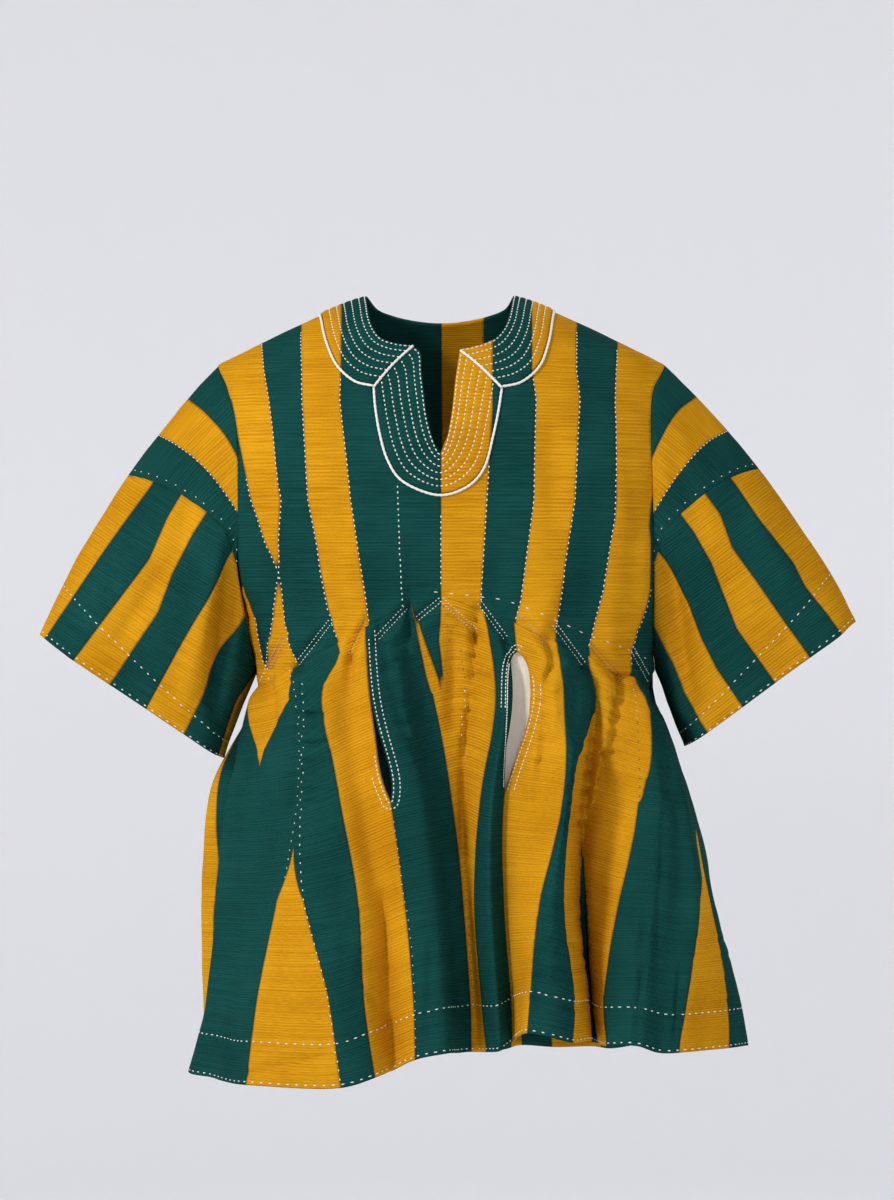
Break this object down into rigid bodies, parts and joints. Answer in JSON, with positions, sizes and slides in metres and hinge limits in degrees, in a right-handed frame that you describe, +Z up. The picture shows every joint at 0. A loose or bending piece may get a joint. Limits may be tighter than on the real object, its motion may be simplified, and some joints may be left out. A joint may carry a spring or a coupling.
{
  "type": "fugu smock",
  "caption": "Hand-woven green and gold striped smock with a full gathered skirt, wide short sleeves and a quilted slit neck.",
  "frame": {"origin": "the middle of the neck opening at the height of the shoulder line, where the shoulders carry the smock", "axes": "+Z up, the front of the smock faces -Y, +X runs across to the viewer's right"},
  "size_m": [0.8148, 0.3638, 0.7765],
  "materials": {
    "striped_cotton": "hand-woven cotton strips, half green and half gold, ribbed across, matt",
    "calico": "plain unbleached cotton, matt",
    "white_thread": "twisted white cotton cord and thread, matt"
  },
  "bodies": {
    "root": {"bodice_front": "striped_cotton", "bodice_back": "striped_cotton", "sleeve_cap_left": "striped_cotton", "sleeve_cap_right": "striped_cotton", "sleeve_left": "striped_cotton", "sleeve_right": "striped_cotton", "skirt_front": "striped_cotton", "skirt_back": "striped_cotton", "pocket_bag": "calico", "yoke_band": "striped_cotton", "yoke_placket": "striped_cotton", "cord_band": "white_thread", "cord_placket": "white_thread", "cord_mitre_left": "white_thread", "cord_mitre_right": "white_thread"}
  },
  "joints": []
}
